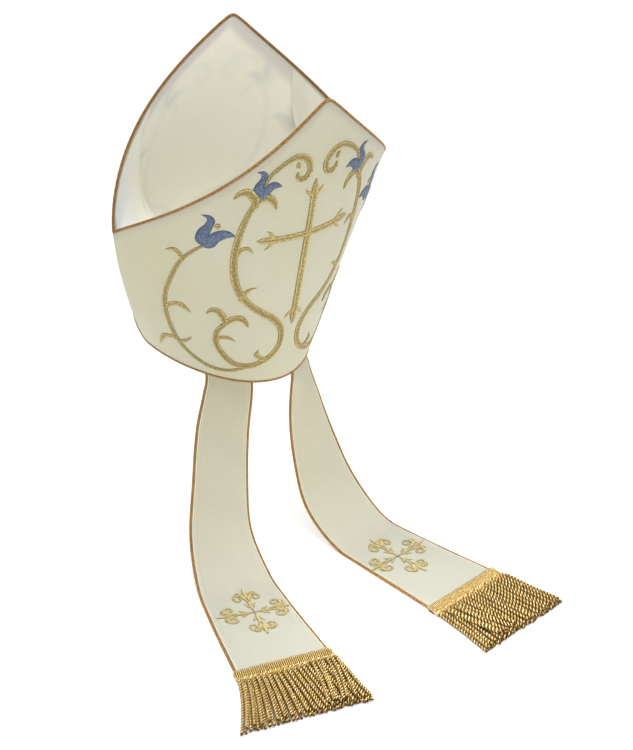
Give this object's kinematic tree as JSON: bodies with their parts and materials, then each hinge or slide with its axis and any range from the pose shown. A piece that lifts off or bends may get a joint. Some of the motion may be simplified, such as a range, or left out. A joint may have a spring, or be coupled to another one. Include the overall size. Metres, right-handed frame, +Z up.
{
  "type": "bishop mitre",
  "caption": "Bishop mitre: pointed front and back horns of stiff ivory cloth on a round rim, piped edges, side gussets and fringed lappets hanging behind.",
  "frame": {"origin": "centre of the rim opening, where a head goes in", "axes": "+Z up as worn, wearer faces -Y, wearer's left is +X; the crown leans back by 15.6 degrees"},
  "size_m": [0.3663, 0.4565, 0.5137],
  "materials": {
    "ivory_cloth": "fine satin weave",
    "white_lining": "plain weave",
    "copper_cord": "twisted metallic cord",
    "gold_bullion": "twisted metallic thread"
  },
  "bodies": {
    "root": {"panel_front": "ivory_cloth", "panel_back": "ivory_cloth", "gusset_left": "white_lining", "gusset_right": "white_lining", "piping_horns": "copper_cord", "piping_rim": "copper_cord", "lappet_left": "ivory_cloth", "lappet_left_piping_a": "copper_cord", "lappet_left_piping_b": "copper_cord", "lappet_left_fringe": "gold_bullion", "lappet_right": "ivory_cloth", "lappet_right_piping_a": "copper_cord", "lappet_right_piping_b": "copper_cord", "lappet_right_fringe": "gold_bullion"}
  },
  "joints": []
}
